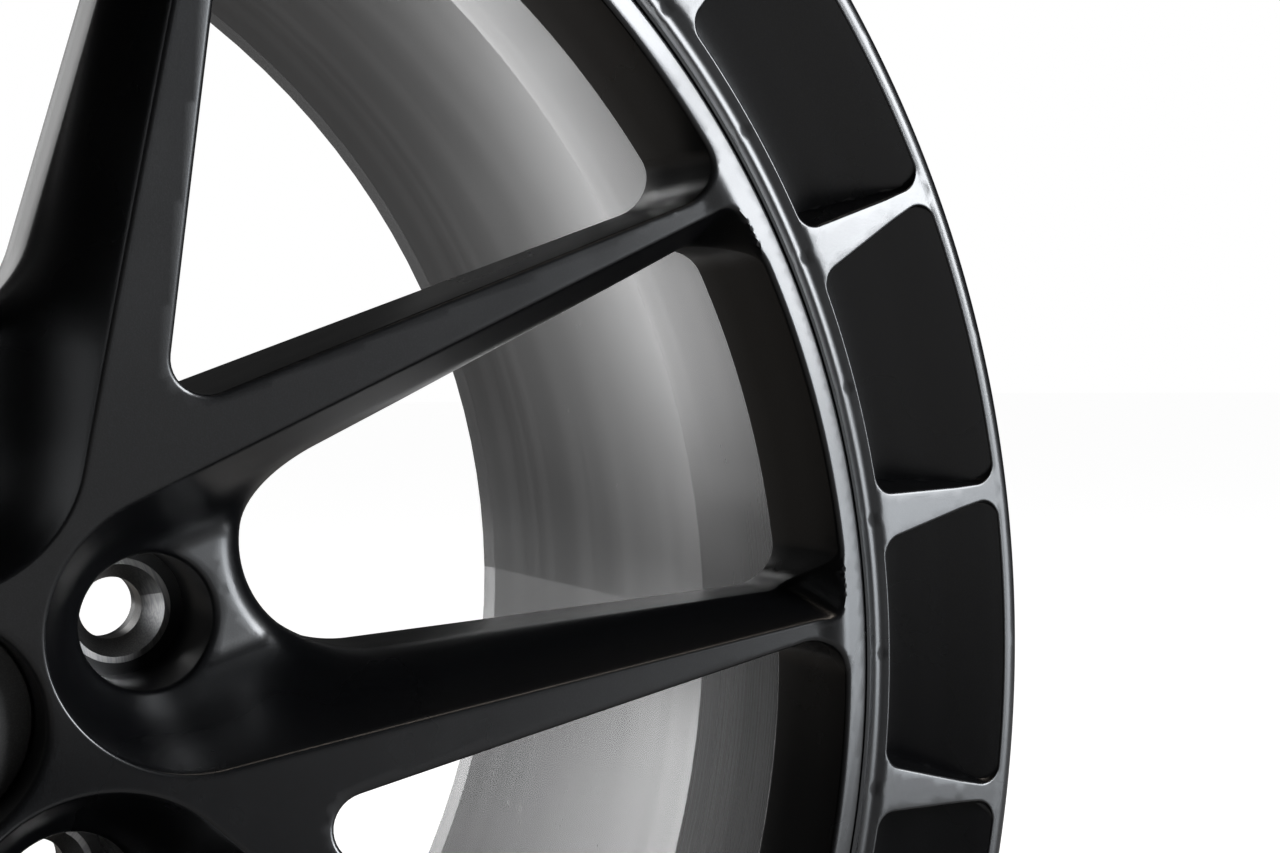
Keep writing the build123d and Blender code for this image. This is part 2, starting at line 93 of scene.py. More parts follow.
V_OFFSET, V_FLARE, V_APEX, V_CORNER = 42.9, 4.35, 8.1, 9.0
BACK_POCKET_IN, BACK_POCKET_OUT, BACK_POCKET_HALF, BACK_POCKET_DEPTH = 46.0, 72.0, 15.6, 18.0
# blends and edge rounds
VALLEY = 14.0
CREST = 1.1
RING_WALL = 5.0                            # fall of the pocket's end wall below the ring
RING_BLEND = 20.0
EDGE_V, EDGE_RING, EDGE_CAP, EDGE_SOCKET, EDGE_BACK, EDGE_EXIT = 1.2, 0.7, 1.5, 1.6, 1.5, 0.8

# ---- lip ------------------------------------------------------------------------------------
LIP_IN_R = 220.1
LIP_POCKET_IN, LIP_POCKET_OUT = 230.0, 268.4
RIB_IN_HALF, RIB_OUT_HALF = 6.6, 1.8
LIP_POCKET_DEPTH = 22.0
LIP_FILLET = 5.0
LIP_WALL = 11.0                            # fall of the rib walls
LIP_SLOPE = 0.75                           # fall of the long outer wall
LIP_CREASE_R, LIP_CREASE_DEPTH = 244.4, 18.0   # where that wall steepens
LIP_FOOT_SLOPE = 1.33
LIP_EDGE = 1.0
# (radius, depth) from the seam out over the cove, the pockets' rim and the flange's lip
LIP_FRONT = [
    (220.1, 3.4), (220.5, 2.5), (221.2, 2.3), (222.2, 2.9), (223.6, 4.3), (225.6, 5.0), (227.6, 4.6),
    (229.0, 3.7), (230.5, 3.4), (268.4, 0.4), (270.2, 0.0), (271.6, 0.05), (272.9, 0.55), (273.6, 1.4),
    (273.9, 2.6),
]
# (radius, depth) from the flange back over the bead seat, the spigot and the joint face
LIP_BACK = [
    (273.9, 5.4), (273.4, 7.2), (272.0, 8.5), (268.6, 9.9), (265.2, 10.8), (261.4, 11.5), (258.6, 12.7),
    (256.9, 14.6), (256.4, 16.8), (255.6, 31.0), (256.2, 33.6), (257.2, 35.2), (257.3, 36.6),
    (256.4, 38.4), (249.6, 42.4), (243.0, 45.6), (242.1, 46.0), (240.5, 46.0), (240.1, 45.6),
    (240.1, 32.0), (236.1, 32.0), (236.1, 25.0), (220.1, 25.0),
]


# ---- plan geometry -----------------------------------------------------------------------
def polar(radius, angle):
    return np.array([radius * cos(radians(angle)), radius * sin(radians(angle))])


def on_circle(start, angle, radius):
    """Where the line from start at an angle meets a circle about the origin."""
    along = start @ polar(1, angle)
    return start + polar(sqrt(along ** 2 - start @ start + radius ** 2) - along, angle)


def arc(centre, radius, first, last, step):
    """Points on an arc and the directions out from its centre."""
    count = max(2, int(abs(radians(last - first)) * radius / step) + 1)
    angles = np.radians(np.linspace(first, last, count + 1))
    outward = np.stack([np.cos(angles), np.sin(angles)], axis=1)
    return np.asarray(centre) + radius * outward, outward


def straight(start, end, normal, step):
    count = max(1, int(np.hypot(*(end - start)) / step))
    share = np.linspace(0, 1, count + 1)[:, None]
    return start + (end - start) * share, np.tile(normal, (count + 1, 1))


def joined(*runs):
    points = np.concatenate([run[0] if k == 0 else run[0][1:] for k, run in enumerate(runs)])
    normals = np.concatenate([run[1] if k == 0 else run[1][1:] for k, run in enumerate(runs)])
    return points, normals


def beside(outline, offset):
    """A copy of an outline moved along its normals."""
    points, normals = outline
    return points + normals * np.reshape(offset, (-1, 1))


def distance_to(line, points):
    """Distance from each point to the nearest place on a polyline."""
    best = np.full(len(points), 1e9)
    for start, end in zip(line[:-1], line[1:]):
        step = end - start
        share = np.clip((points - start) @ step / (step @ step), 0, 1)
        gap = points - start - share[:, None] * step
        best = np.minimum(best, np.hypot(gap[:, 0], gap[:, 1]))
    return best


def inside(outline, points):
    """Even-odd test against a closed outline."""
    x, y = points[:, 0], points[:, 1]
    within = np.zeros(len(points), bool)
    for (x0, y0), (x1, y1) in zip(outline, np.roll(outline, -1, axis=0)):
        if y0 != y1:
            crossed = ((y0 > y) != (y1 > y)) & (x < (x1 - x0) * (y - y0) / (y1 - y0) + x0)
            within ^= crossed
    return within


def soft_min(a, b, width):
    share = np.clip(0.5 + 0.5 * (b - a) / width, 0, 1)
    return b + (a - b) * share - width * share * (1 - share)


def soft_max(a, b, width):
    return -soft_min(-a, -b, width)


def rounding(gap, radius):
    """Extra depth of a quarter-round edge at a distance from the edge."""
    inner = np.clip(radius - np.where(gap < NEARLY_NOTHING, 0, gap), 0, radius)
    return radius - np.sqrt(np.maximum(radius ** 2 - inner ** 2, 0))


NEARLY_NOTHING = 0.002                     # mm


def radius_of(points):
    return np.hypot(points[:, 0], points[:, 1])


def hexagonal(step, reach, half_pitch, start=0.0):
    """Evenly spread points over half of a repeating sector."""
    rows = []
    for k, y in enumerate(np.arange(0, reach, step * 0.866)):
        x = np.arange(start + (k % 2) * step / 2, reach, step)
        rows.append(np.stack([x, np.full(len(x), y)], axis=1))
    grid = np.concatenate(rows)
    radius = radius_of(grid)
    angle = np.degrees(np.arctan2(grid[:, 1], grid[:, 0]))
    margin = np.degrees(0.45 * step / np.maximum(radius, 1))
    return grid[(angle > margin) & (angle < half_pitch - margin)]


def clear_of(points, chains, gap):
    """The points that keep a gap from every chain."""
    for chain in chains:
        points = points[distance_to(chain, points) > gap]
    return points


def spoke_line(angle, stops, step):
    """Points along one edge of the sector, between pairs of radii."""
    radii = [np.linspace(low, high, max(2, int((high - low) / step) + 1)) for low, high in stops]
    return np.array([polar(radius, angle) for radius in np.concatenate(radii)])


def stretches(chain, good):
    """The runs of a chain whose points are good."""
    parts, run = [], []
    for point, ok in zip(chain, good):
        if ok:
            run.append(point)
        elif run:
            parts.append(np.array(run))
            run = []
    if run:
        parts.append(np.array(run))
    return [part for part in parts if len(part) > 1]


SLIVER = 5e-4                              # mm2, a triangle flatter than this is left out


def triangulate(chains, loose):
    """Triangles through all the points that keep the chains as edges."""
    points, edges = [], []
    for chain in chains:
        base = len(points)
        points.extend(chain)
        edges.extend((base + k, base + k + 1) for k in range(len(chain) - 1))
    points.extend(loose)
    out = delaunay_2d_cdt([Vector(point) for point in points], edges, [], 0, 1e-4)
    points, faces = (np.array([tuple(row) for row in part]) for part in (out[0], out[2]))
    a, b, c = (points[faces[:, k]] for k in range(3))
    ab, ac = b - a, c - a
    area = np.abs(ab[:, 0] * ac[:, 1] - ab[:, 1] * ac[:, 0]) / 2
    return points, faces[area > SLIVER]


# ---- mesh building -----------------------------------------------------------------------
WELD, SHORTEST_EDGE = 0.006, 0.001         # mm
SHARP_ANGLE = 38


class Shell:
    """Collects points (x, y, depth) and faces, and closes them into one object."""

    def __init__(self):
        self.points, self.faces, self.count = [], [], 0

    def add(self, points, faces):
        self.points.append(np.asarray(points, float))
        self.faces.extend([tuple(int(k) + self.count for k in face) for face in faces])
        self.count += len(points)

    def repeat(self, points, faces, sectors):
        """Add a patch in every sector, with its mirror image."""
        for k in range(sectors):
            turn = radians(FIRST_UNIT + k * 360 / sectors)
            for flip in (1, -1):
                x, y = points[:, 0], points[:, 1] * flip
                across, up = x * cos(turn) - y * sin(turn), x * sin(turn) + y * cos(turn)
                turned_patch = np.stack([across, up, points[:, 2]], axis=1)
                self.add(turned_patch, faces if flip == 1 else [tuple(face)[::-1] for face in faces])

    def band(self, chain_a, chain_b, depth_a, depth_b, sectors):
        """A surface between two chains with the same number of points."""
        n = len(chain_a)
        points = np.concatenate([np.column_stack([chain_a, np.full(n, depth_a)]),
                                 np.column_stack([chain_b, np.full(n, depth_b)])])
        self.repeat(points, [(k, k + 1, n + k + 1, n + k) for k in range(n - 1)], sectors)

    def strip(self, chain, depths_a, depths_b, sectors, steps=1):
        """A wall along a chain from one set of depths to another."""
        fall = depths_b - depths_a
        rows = [np.column_stack([chain, depths_a + fall * k / steps]) for k in range(steps + 1)]
        n = len(chain)
        faces = [(r * n + k, r * n + k + 1, (r + 1) * n + k + 1, (r + 1) * n + k)
                 for r in range(steps) for k in range(n - 1)]
        self.repeat(np.concatenate(rows), faces, sectors)

    def lathe(self, profile, half_pitch, step, sectors):
        """A turned surface through (radius, depth) points over half a sector."""
        count = len(arc((0, 0), 1.0, 0, half_pitch, step)[0])
        angles = np.radians(np.linspace(0, half_pitch, count))
        points = np.array([(r * cos(a), r * sin(a), d) for r, d in profile for a in angles])
        faces = [(j * count + k, j * count + k + 1, (j + 1) * count + k + 1, (j + 1) * count + k)
                 for j in range(len(profile) - 1) for k in range(count - 1)]
        self.repeat(points, faces, sectors)

    def build(self, name):
        """One welded object with smooth faces, in the wheel's frame."""
        points = np.concatenate(self.points)
        place = np.stack([points[:, 0] * MM, FACE_Y + points[:, 2] * MM, points[:, 1] * MM], axis=1)
        mesh = bpy.data.meshes.new(name)
        mesh.from_pydata(place.tolist(), [], self.faces)
        body = bmesh.new()
        body.from_mesh(mesh)
        bmesh.ops.remove_doubles(body, verts=body.verts, dist=WELD * MM)
        bmesh.ops.dissolve_degenerate(body, edges=body.edges, dist=SHORTEST_EDGE * MM)
        bmesh.ops.recalc_face_normals(body, faces=body.faces)
        for face in body.faces:
            face.smooth = True
        for edge in body.edges:
            if len(edge.link_faces) == 2 and edge.calc_face_angle() > radians(SHARP_ANGLE):
                edge.smooth = False
        body.to_mesh(mesh)
        body.free()
        piece = bpy.data.objects.new(name, mesh)
        bpy.context.scene.collection.objects.link(piece)
        return piece


# ---- centre disc --------------------------------------------------------------------------
def tapering_window(end_x, end_r, flare, corner, step):
    """Half outline of a window along +x: round end, straight side, rounded corner, ring arc.
    The normals point out of the window, into the metal."""
    side = polar(1, 90 + flare)
    tangent = np.array([end_x, 0.0]) + end_r * side
    centre = on_circle(tangent - corner * side, flare, RING_IN_R - corner)
    corner_angle = degrees(atan2(centre[1], centre[0]))
    return joined(
        arc((end_x, 0.0), end_r, 180, 90 + flare, step),
        straight(tangent, centre + corner * side, side, step),
        arc(centre, corner, 90 + flare, corner_angle, step * 0.7),
        arc((0.0, 0.0), RING_IN_R, corner_angle, 0, step),
    )


def u_outline(step=1.6):
    return tapering_window(U_END_X, U_END_R, U_FLARE, U_CORNER, step)


def v_outline(step=1.6):
    """The near half of the window between two units, turned to its place."""
    half = HALF_PITCH - V_FLARE
    apex_x = (V_OFFSET + V_APEX) / sin(radians(half))
    points, normals = tapering_window(apex_x, V_APEX, half, V_CORNER, step)
    flip = np.array([1.0, -1.0])
    turn = np.array([polar(1, HALF_PITCH), polar(1, HALF_PITCH + 90)])
    return points * flip @ turn, normals * flip @ turn


U_LINE, V_LINE = u_outline(), v_outline()
U_SHAPE = np.concatenate([U_LINE[0], [[150.0, 0.0]]])
V_SHAPE = np.concatenate([V_LINE[0], [polar(150.0, HALF_PITCH)]])


def spoke_top(radius):
    """The concave face of the spokes, which levels out into the ring."""
    fall = (HUB_FACE_DEPTH - RING_DEPTH - 1) / (RING_IN_R - HUB_FACE_R)
    cone = HUB_FACE_DEPTH - (radius - HUB_FACE_R) * fall
    ease = np.clip((radius - 206) / 8, 0, 1)
    return cone + (RING_DEPTH - cone) * ease * ease * (3 - 2 * ease)


def pocket_side(points):
    """Distance outside the pocket's outline at the shelf."""
    along, across = polar(1, POCKET_FLARE), polar(1, POCKET_FLARE + 90)
    from_lug = points - np.array([LUG_R, 0.0])
    nose = np.hypot(from_lug[:, 0], from_lug[:, 1])
    return np.where(from_lug @ along < 0, nose, from_lug @ across) - POCKET_NOSE_R


def u_edge_radius(points):
    """The shelf rolls softly into the round end of the U window, and tightens along its sides."""
    return np.interp(points[:, 0], [95, 125, 180], [6.5, 4.0, 1.3])


def front_depth(points):
    """Depth of the front face: spoke tops, pockets, ring, and every rounded edge."""
    radius = radius_of(points)
    wall = SHELF_DEPTH - pocket_side(points) / tan(radians(POCKET_DRAFT))
    end_wall = RING_DEPTH + (RING_IN_R - radius) * RING_WALL
    pocket = soft_min(wall, end_wall, RING_BLEND)
    pocket = soft_min(np.full(len(points), SHELF_DEPTH), pocket, VALLEY)
    depth = soft_max(spoke_top(radius), pocket, CREST)
    depth += rounding(distance_to(U_LINE[0], points), u_edge_radius(points))
    depth += rounding(distance_to(V_LINE[0], points), EDGE_V)
    depth += rounding(RING_OUT_R - radius, EDGE_RING)
    depth += rounding(radius - CAP_BORE_R, EDGE_CAP)
    return depth + rounding(lug_gap(points, SOCKET_R), EDGE_SOCKET)


def lug_gap(points, hole_r):
    """Distance outside a lug hole."""
    return np.maximum(np.hypot(points[:, 0] - LUG_R, points[:, 1]) - hole_r, 0)


def back_pocket_gap(points):
    """Distance inside the kidney pocket between two lugs, negative outside it."""
    radius = radius_of(points)
    angle = HALF_PITCH - np.degrees(np.arctan2(points[:, 1], points[:, 0]))
    sideways = np.radians(BACK_POCKET_HALF - angle) * radius
    return soft_min(soft_min(radius - BACK_POCKET_IN, BACK_POCKET_OUT - radius, 5.0), sideways, 8.0)


def back_depth(points):
    """Depth of the back face: pad, kidney pockets and the slope of the spokes."""
    radius = radius_of(points)
    radii = [PAD_R, PAD_R + PAD_STEP, RING_IN_R, CLAMP_R]
    cone = np.interp(radius, radii, [PAD_DEPTH, SPOKE_BACK, CLAMP_BACK, CLAMP_BACK])
    kidney = np.clip(back_pocket_gap(points) * 4.0, 0, BACK_POCKET_DEPTH)
    edge = np.minimum(distance_to(U_LINE[0], points), distance_to(V_LINE[0], points))
    return cone - kidney - rounding(edge, EDGE_BACK) - rounding(lug_gap(points, LUG_EXIT_R), EDGE_EXIT)


# spacing of points: arcs in shares of their radius, surfaces in millimetres
LUG_STEP, COARSE, FINE = 0.044, 0.03, 0.01
FRONT_STEP, BACK_STEP, LIP_STEP, RING_CORNER_STEP = 1.9, 2.6, 1.9, 0.6
PLAN_REACH, LIP_REACH = 240, 275


def crest_chains():
    """Chains along the upper edge of the pocket, where its wall meets the spoke's face."""
    side = polar(1, 90 + POCKET_FLARE)
    nose = arc((LUG_R, 0.0), POCKET_NOSE_R, 180, 90 + POCKET_FLARE, 0.9)
    flank = straight(nose[0][-1], nose[0][-1] + polar(150, POCKET_FLARE), side, 1.8)
    base = joined(nose, flank)
    reach = np.full(len(base[0]), 20.0)
    for _ in range(12):
        reach = (SHELF_DEPTH - spoke_top(radius_of(beside(base, reach)))) * tan(radians(POCKET_DRAFT))
    return [beside(base, reach + shift) for shift in (-1.6, -0.8, -0.35, 0.0, 0.35, 0.8, 1.6)]


def on_metal(points, outer_r, hole_r, bore_r, slack=1e-6):
    radius = radius_of(points)
    metal = ~inside(U_SHAPE, points) & ~inside(V_SHAPE, points)
    metal &= np.hypot(points[:, 0] - LUG_R, points[:, 1]) > hole_r - slack
    return metal & (radius < outer_r + slack) & (radius > bore_r - slack)


def lug_arc(radius):
    """Half circle about a lug hole, always with the same number of points."""
    return arc((LUG_R, 0.0), radius, 180, 0, radius * LUG_STEP)[0]


def sector_arc(radius, step):
    """Arc over half a unit; the step is a share of the radius, so arcs match point for point."""
    return arc((0, 0), radius, 0, HALF_PITCH, radius * step)[0]


def ring_corner_points():
    """Closely spaced points where a pocket's upper edge curves into the ring."""
    fine = hexagonal(RING_CORNER_STEP, 216, HALF_PITCH, start=140)
    radius = radius_of(fine)
    return fine[(radius > 188) & (radius < 216) & (np.abs(pocket_side(fine) - 29) < 12)]


def half_face(front):
    """Triangles of the front or back of half a unit, and the chains round its openings."""
    front_radii, back_radii = (RING_OUT_R, CAP_BORE_R, SOCKET_R), (CLAMP_R, HUB_BORE_R, LUG_EXIT_R)
    outer_r, bore_r, hole_r = front_radii if front else back_radii
    u_points, v_points = U_LINE[0], V_LINE[0]
    rims = [u_points, v_points, lug_arc(hole_r), sector_arc(outer_r, FINE), sector_arc(bore_r, COARSE)]
    soft = [lug_arc(hole_r + gap) for gap in (0.15, 0.5, 1.0, 1.7)]
    if front:
        shares = (0.03, 0.12, 0.28, 0.5, 0.75, 1.0)
        soft += [beside(U_LINE, u_edge_radius(u_points) * share) for share in shares]
        soft += [beside(V_LINE, np.full(len(v_points), gap)) for gap in (0.04, 0.18, 0.5, 1.2)]
        soft += [sector_arc(RING_OUT_R - gap, FINE) for gap in (0.03, 0.15, 0.4, 0.8)]
        soft += [sector_arc(CAP_BORE_R + gap, COARSE) for gap in (0.1, 0.4, 0.9, 1.6)]
        soft += crest_chains()
    else:
        soft += [beside(U_LINE, np.full(len(u_points), gap)) for gap in (0.08, 0.4, 1.5)]
        soft += [beside(V_LINE, np.full(len(v_points), gap)) for gap in (0.08, 0.4, 1.5)]
        pad_radii = (PAD_R - 0.5, PAD_R, PAD_R + PAD_STEP, PAD_R + PAD_STEP + 1)
        soft += [sector_arc(radius, COARSE) for radius in pad_radii]
    chains = list(rims)
    for chain in soft:
        angle = np.degrees(np.arctan2(chain[:, 1], chain[:, 0]))
        good = on_metal(chain, outer_r, hole_r, bore_r) & (angle > -1e-6) & (angle < HALF_PITCH + 1e-6)
        chains += stretches(chain, good)
    step = FRONT_STEP if front else BACK_STEP
    loose = clear_of(hexagonal(step, PLAN_REACH, HALF_PITCH), chains, step * 0.45)
    if front:
        loose = np.concatenate([loose, clear_of(ring_corner_points(), chains, RING_CORNER_STEP / 2)])
    loose = loose[on_metal(loose, outer_r, hole_r, bore_r, -0.2)]
    ends = [(bore_r, LUG_R - hole_r), (LUG_R + hole_r, U_END_X - U_END_R), (RING_IN_R, outer_r)]
    v_ends = [(bore_r, float(np.hypot(*v_points[0]))), (RING_IN_R, outer_r)]
    lines = [spoke_line(0, ends, step), spoke_line(HALF_PITCH, v_ends, step)]
    points, faces = triangulate(chains, np.concatenate([loose, *lines]))
    faces = faces[on_metal(points[faces].mean(axis=1), outer_r, hole_r, bore_r, 0.0)]
    depth = front_depth(points) if front else back_depth(points)
    return np.column_stack([points, depth]), faces, rims


def centre_disc():
    """The forged centre: front and back faces, window walls, lug holes, clamp ring and hub bore."""
    shell = Shell()
    front, front_faces, rims = half_face(True)
    back, back_faces, back_rims = half_face(False)
    shell.repeat(front, front_faces, UNITS)
    shell.repeat(back, back_faces, UNITS)
    for rim in rims[:2]:
        shell.strip(rim, front_depth(rim), back_depth(rim), UNITS, steps=3)
    lug, ring, bore = rims[2:]
    shell.strip(lug, front_depth(lug), np.full(len(lug), SOCKET_END), UNITS)
    steps = [(SOCKET_R, SOCKET_END), (SEAT_R, SOCKET_END), (SEAT_R, SEAT_END), (LUG_EXIT_R, SEAT_END)]
    for (ra, da), (rb, db) in zip(steps, steps[1:]):
        shell.band(lug_arc(ra), lug_arc(rb), da, db, UNITS)
    way_out = back_rims[2]
    shell.strip(way_out, np.full(len(way_out), SEAT_END), back_depth(way_out), UNITS)
    shell.strip(ring, front_depth(ring), np.full(len(ring), CLAMP_FRONT), UNITS)
    clamp = [(RING_OUT_R, CLAMP_FRONT), (CLAMP_R, CLAMP_FRONT), (CLAMP_R, CLAMP_BACK)]
    shell.lathe(clamp, HALF_PITCH, FINE, UNITS)
    shell.strip(bore, front_depth(bore), np.full(len(bore), CAP_SHOULDER), UNITS)
    hub = [(CAP_BORE_R, CAP_SHOULDER), (CAP_SHOULDER_R, CAP_SHOULDER), (CAP_SHOULDER_R, RELIEF_TOP),
           (RELIEF_R, RELIEF_TOP), (RELIEF_R, HUB_BORE_TOP), (HUB_BORE_R, HUB_BORE_TOP),
           (HUB_BORE_R, PAD_DEPTH)]
    shell.lathe(hub, HALF_PITCH, COARSE, UNITS)
    return shell.build("forged_centre")


# ---- outer lip -------------------------------------------------------------------------------
def lip_pocket_outline(step=1.3):
    """Half outline of a pocket along +x, with normals out of the pocket."""
    def beside_rib(radius, half_width):
        reach = sqrt(radius ** 2 - half_width ** 2)
        return reach * polar(1, LIP_HALF_PITCH) - half_width * polar(1, LIP_HALF_PITCH + 90)

    inner, outer = beside_rib(LIP_POCKET_IN, RIB_IN_HALF), beside_rib(LIP_POCKET_OUT, RIB_OUT_HALF)
    lean = degrees(atan2(*(outer - inner)[::-1]))
    side = polar(1, lean + 90)
    start = inner - LIP_FILLET * side
    near = on_circle(start, lean, LIP_POCKET_IN + LIP_FILLET)
    far = on_circle(start, lean, LIP_POCKET_OUT - LIP_FILLET)
    near_angle, far_angle = (degrees(atan2(point[1], point[0])) for point in (near, far))
    points, outward = arc((0, 0), LIP_POCKET_IN, 0, near_angle, step)
    return joined(
        (points, -outward),
        arc(near, LIP_FILLET, near_angle + 180, lean + 90, step * 0.5),
        straight(near + LIP_FILLET * side, far + LIP_FILLET * side, side, step),
        arc(far, LIP_FILLET, lean + 90, far_angle, step * 0.5),
        arc((0, 0), LIP_POCKET_OUT, far_angle, 0, step),
    )


LIP_LINE = lip_pocket_outline()
CLEAR_IN_POCKET, CLEAR_ON_RIB = 2.5, 1.25  # arcs keep this far from the pocket's outline


def lip_depth(points):
    """The turned front of the lip, with the pockets cut into it."""
    radius = radius_of(points)
    profile = np.array(LIP_FRONT)
    top = np.interp(radius, profile[:, 0], profile[:, 1])
    gap = distance_to(LIP_LINE[0], points)
    edge = np.interp(radius, [256, 266], [LIP_EDGE, 0.3])
    slope = top + edge + (LIP_POCKET_OUT - radius) * LIP_SLOPE
    foot = LIP_CREASE_DEPTH + (LIP_CREASE_R - radius) * LIP_FOOT_SLOPE
    pocket = soft_min(top + edge + gap * LIP_WALL, soft_max(slope, foot, 0.5), 1.5)
    pocket = soft_min(np.full(len(points), LIP_POCKET_DEPTH), pocket, 3.0)
    pocket = np.maximum(pocket, top + edge)
    return np.where(inside(LIP_LINE[0], points), pocket, top + rounding(gap, edge))


def outer_lip():
    """The lip: a front face with pockets, closed behind by a turned surface."""
    outline = LIP_LINE[0]
    chains = [outline]
    chains += [arc((0, 0), radius, 0, LIP_HALF_PITCH, radius * FINE)[0] for radius, _ in LIP_FRONT]
    offsets = (-2.2, -1.9, -1.5, -1.0, -0.5, -0.12, 0.02, 0.1, 0.25, 0.5, 0.8, 1.0)
    chains += [beside(LIP_LINE, np.full(len(outline), offset)) for offset in offsets]
    crease_shifts = (-1.0, -0.4, 0, 0.4, 1.0)
    chains += [arc((0, 0), LIP_CREASE_R + shift, 0, LIP_HALF_PITCH, 1.0)[0] for shift in crease_shifts]
    kept = [chains[0]]
    for chain in chains[1:]:
        angle = np.degrees(np.arctan2(chain[:, 1], chain[:, 0]))
        good = (angle > -1e-6) & (angle < LIP_HALF_PITCH + 1e-6)
        if np.ptp(radius_of(chain)) < NEARLY_NOTHING:
            room = np.where(inside(outline, chain), CLEAR_IN_POCKET, CLEAR_ON_RIB)
            good &= distance_to(outline, chain) > room
        kept += stretches(chain, good)
    loose = clear_of(hexagonal(LIP_STEP, LIP_REACH, LIP_HALF_PITCH, start=215), kept, 0.8)
    radius = radius_of(loose)
    loose = loose[(radius > LIP_POCKET_IN + 1) & (radius < LIP_POCKET_OUT)]
    stops = [(LIP_IN_R, LIP_POCKET_IN), (LIP_POCKET_IN, LIP_POCKET_OUT), (LIP_POCKET_OUT, FLANGE_R)]
    lines = [spoke_line(0, stops, LIP_STEP), spoke_line(LIP_HALF_PITCH, [(LIP_IN_R, FLANGE_R)], LIP_STEP)]
    points, faces = triangulate(kept, np.concatenate([loose, *lines]))
    radius = radius_of(points[faces].mean(axis=1))
    faces = faces[(radius > LIP_IN_R) & (radius < LIP_FRONT[-1][0])]
    shell = Shell()
    shell.repeat(np.column_stack([points, lip_depth(points)]), faces, LIP_POCKETS)
    shell.lathe([LIP_FRONT[-1], *LIP_BACK, LIP_FRONT[0]], LIP_HALF_PITCH, FINE, LIP_POCKETS)
    return shell.build("pocketed_lip")


# ---- materials --------------------------------------------------------------------------------
def shader_group(name, inputs, outputs):
    """An empty node group; inputs and outputs are (name, socket type, start value)."""
    group = bpy.data.node_groups.new(name, "ShaderNodeTree")
    for label, kind, value in inputs:
        socket = group.interface.new_socket(name=label, in_out="INPUT", socket_type=kind)
        socket.default_value = value
    for label, kind in outputs:
        group.interface.new_socket(name=label, in_out="OUTPUT", socket_type=kind)
    return group, group.nodes.new("NodeGroupInput"), group.nodes.new("NodeGroupOutput")


def noise(tree, vector, scale, detail=2.0, roughness=0.5):
    node = tree.nodes.new("ShaderNodeTexNoise")
    node.inputs["Scale"].default_value = scale
    node.inputs["Detail"].default_value = detail
    node.inputs["Roughness"].default_value = roughness
    tree.links.new(vector, node.inputs["Vector"])
    return node.outputs["Fac"]


def remap(tree, value, low, high, to_low, to_high):
    node = tree.nodes.new("ShaderNodeMapRange")
    node.interpolation_type = "SMOOTHSTEP"
    tree.links.new(value, node.inputs["Value"])
    limits = {"From Min": low, "From Max": high, "To Min": to_low, "To Max": to_high}
    for label, number in limits.items():
        node.inputs[label].default_value = number
    return node.outputs["Result"]


def arithmetic(tree, kind, a, b):
    node = tree.nodes.new("ShaderNodeMath")
    node.operation = kind
    for socket, value in zip(node.inputs, (a, b)):
        if isinstance(value, (int, float)):
            socket.default_value = value
        else:
            tree.links.new(value, socket)
    return node.outputs["Value"]


def object_place(tree):
    return tree.nodes.new("ShaderNodeTexCoord").outputs["Object"]


def fine_grain_group():
    """Grain of a bead-blasted, coated surface: a height, a wear mask and a slow variation."""
    inputs = [("Size", "NodeSocketFloat", 1.0), ("Depth", "NodeSocketFloat", 1.0)]
    outputs = [("Height", "NodeSocketFloat"), ("Speckle", "NodeSocketFloat"), ("Cloud", "NodeSocketFloat")]
    group, given, result = shader_group("fine_grain", inputs, outputs)
    place = object_place(group)
    scaled = group.nodes.new("ShaderNodeVectorMath")
    scaled.operation = "SCALE"
    group.links.new(place, scaled.inputs[0])
    group.links.new(given.outputs["Size"], scaled.inputs["Scale"])
    speckle = noise(group, scaled.outputs[0], 2800.0, 1.0)
    ripple = noise(group, scaled.outputs[0], 420.0, 2.0)
    height = arithmetic(group, "ADD", arithmetic(group, "MULTIPLY", speckle, 0.6),
                        arithmetic(group, "MULTIPLY", ripple, 0.4))
    group.links.new(arithmetic(group, "MULTIPLY", height, given.outputs["Depth"]), result.inputs["Height"])
    group.links.new(remap(group, speckle, 0.42, 0.72, 0, 1), result.inputs["Speckle"])
    group.links.new(remap(group, noise(group, place, 9.0, 3.0), 0.3, 0.7, 0, 1), result.inputs["Cloud"])
    return group


def lathe_lines_group():
    """Fine turning lines round the axle line, from the distance to it and the place along it."""
    inputs = [("Spacing", "NodeSocketFloat", 0.0006)]
    outputs = [("Height", "NodeSocketFloat"), ("Lines", "NodeSocketFloat"), ("Bands", "NodeSocketFloat")]
    group, given, result = shader_group("lathe_lines", inputs, outputs)
    apart = group.nodes.new("ShaderNodeSeparateXYZ")
    group.links.new(object_place(group), apart.inputs[0])
    x, y, z = apart.outputs
    across = arithmetic(group, "SQRT", arithmetic(group, "ADD", arithmetic(group, "MULTIPLY", x, x),
                                                  arithmetic(group, "MULTIPLY", z, z)), 0)
    along = group.nodes.new("ShaderNodeCombineXYZ")
    group.links.new(arithmetic(group, "DIVIDE", y, given.outputs["Spacing"]), along.inputs["X"])
    group.links.new(arithmetic(group, "DIVIDE", across, given.outputs["Spacing"]), along.inputs["Y"])
    lines = noise(group, along.outputs[0], 1.0, 1.0)
    bands = noise(group, along.outputs[0], 0.045, 3.0, 0.6)
    group.links.new(lines, result.inputs["Height"])
    group.links.new(remap(group, lines, 0.35, 0.65, 0, 1), result.inputs["Lines"])
    group.links.new(remap(group, bands, 0.35, 0.65, 0, 1), result.inputs["Bands"])
    return group


